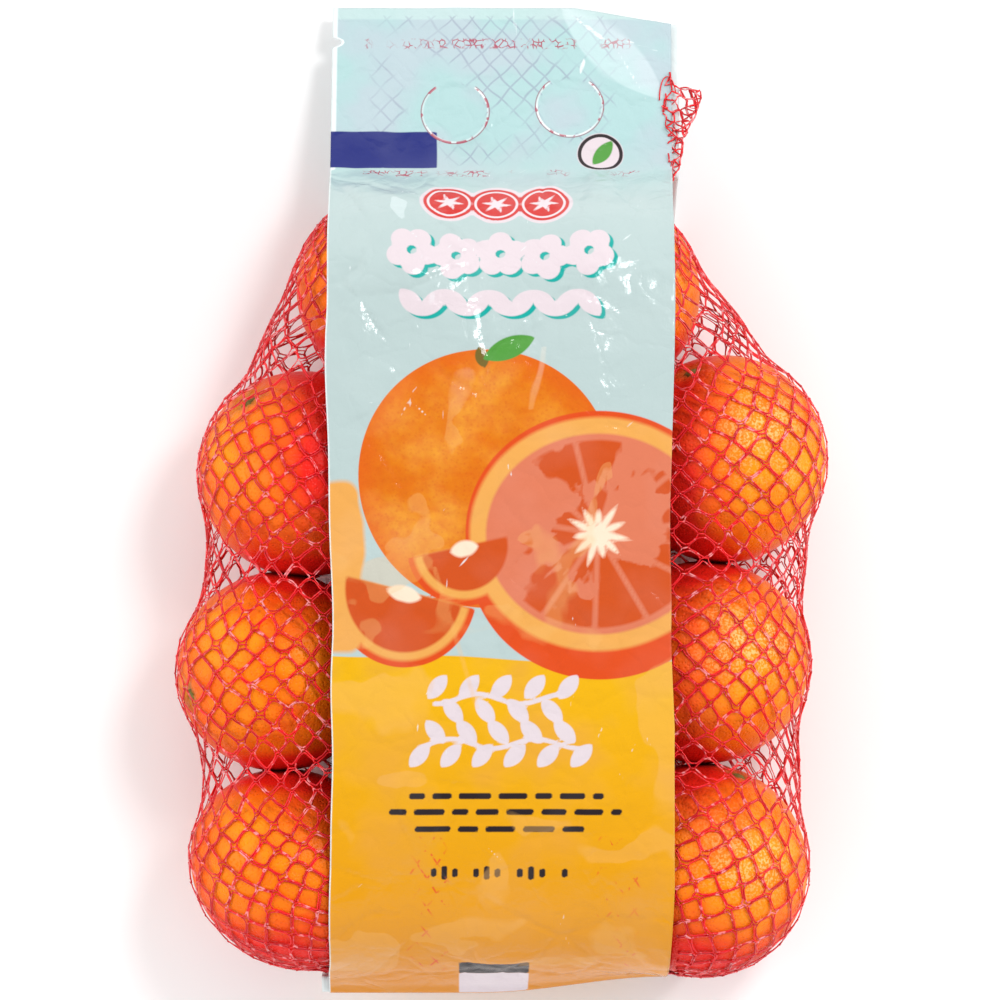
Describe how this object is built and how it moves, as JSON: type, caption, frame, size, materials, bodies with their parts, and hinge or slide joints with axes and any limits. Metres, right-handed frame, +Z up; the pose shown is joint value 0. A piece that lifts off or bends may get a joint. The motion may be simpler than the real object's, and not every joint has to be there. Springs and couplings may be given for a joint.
{
  "type": "net of oranges",
  "caption": "Flat sealed net bag holding one layer of oranges, with a printed film strip front and back that runs up into a carrying header with finger holes.",
  "frame": {"origin": "under the middle of the bag's box, on the surface it lies on", "axes": "+X to the right seen from the shown side, +Y up the bag towards the header, +Z up out of the shown side"},
  "size_m": [0.2228, 0.3378, 0.0738],
  "materials": {
    "orange_peel": "ripe orange peel with fine oil pores and a soft waxy sheen",
    "red_net": "knitted polyethylene net of fine bright red filaments",
    "printed_film": "glossy laminated film printed in pale aqua over golden yellow, with creases"
  },
  "bodies": {
    "root": {"net_and_oranges": "orange_peel", "front_film": "printed_film", "back_film": "printed_film", "net_end": "red_net"}
  },
  "joints": []
}
